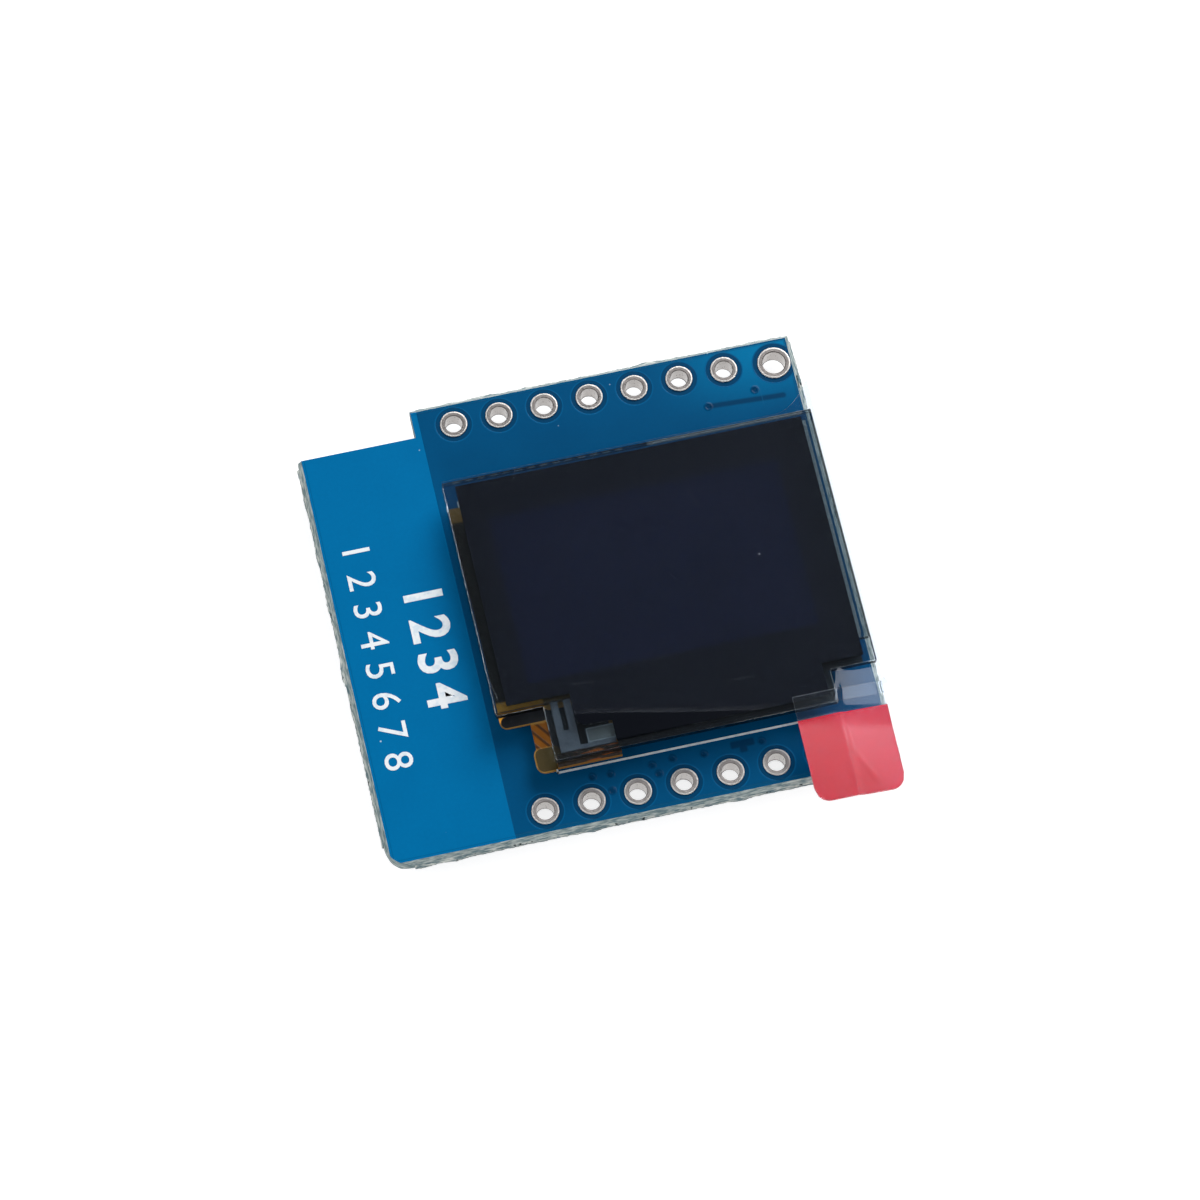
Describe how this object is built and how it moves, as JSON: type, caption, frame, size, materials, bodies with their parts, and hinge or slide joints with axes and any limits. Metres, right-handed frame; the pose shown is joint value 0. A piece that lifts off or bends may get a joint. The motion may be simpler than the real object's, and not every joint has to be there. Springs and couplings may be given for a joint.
{
  "type": "small oled display module",
  "caption": "Small display module: blue circuit board with two rows of header holes, glass panel on foam tape, folded flex cable and clear film with red pull tab.",
  "frame": {"origin": "axis of the first hole of the lower header row, at the rear face of the board", "axes": "+X along the header rows, +Y from the lower row to the upper row, +Z out of the display"},
  "size_m": [0.028, 0.0275, 0.0041],
  "materials": {
    "board": "blue solder mask over glass-fibre board",
    "plating": "tinned rings and barrels",
    "glass": "clear polished glass",
    "polarizer": "near-black polarizing sheet",
    "silicon": "grey bare die",
    "sealant": "grey cured sealant",
    "flex": "amber polyimide",
    "copper": "gold-flashed copper",
    "solder": "bright solder",
    "foam": "white double-sided foam tape",
    "clear_film": "clear film",
    "red_film": "glossy red film",
    "tan_ceramic": "satin tan ceramic",
    "black_coat": "black overcoat on white ceramic"
  },
  "bodies": {
    "root": {"circuit_board": "board", "barrels_lower_row": "plating", "barrels_upper_row": "plating", "barrel_corner_hole": "plating", "front_glass": "glass", "rear_glass": "glass", "polarizer": "polarizer", "driver_chip": "silicon", "chip_sealant": "sealant", "flex_cable": "flex", "flex_lands": "copper", "flex_solder": "solder", "foam_tape_left": "foam", "foam_tape_right": "foam", "protective_film": "clear_film", "pull_tape": "clear_film", "pull_grip": "red_film", "capacitor_1": "tan_ceramic", "capacitor_2": "tan_ceramic", "capacitor_3": "tan_ceramic", "capacitor_4": "tan_ceramic", "capacitor_5": "tan_ceramic", "capacitor_6": "tan_ceramic", "capacitor_7": "tan_ceramic", "resistor_1": "black_coat", "resistor_2": "black_coat", "resistor_3": "black_coat", "resistor_4": "black_coat", "resistor_5": "black_coat", "capacitor_ends": "solder", "resistor_ends": "solder", "chip_lands": "copper", "chip_solder": "solder", "jumper_pads": "copper", "jumper_solder": "solder"}
  },
  "joints": []
}
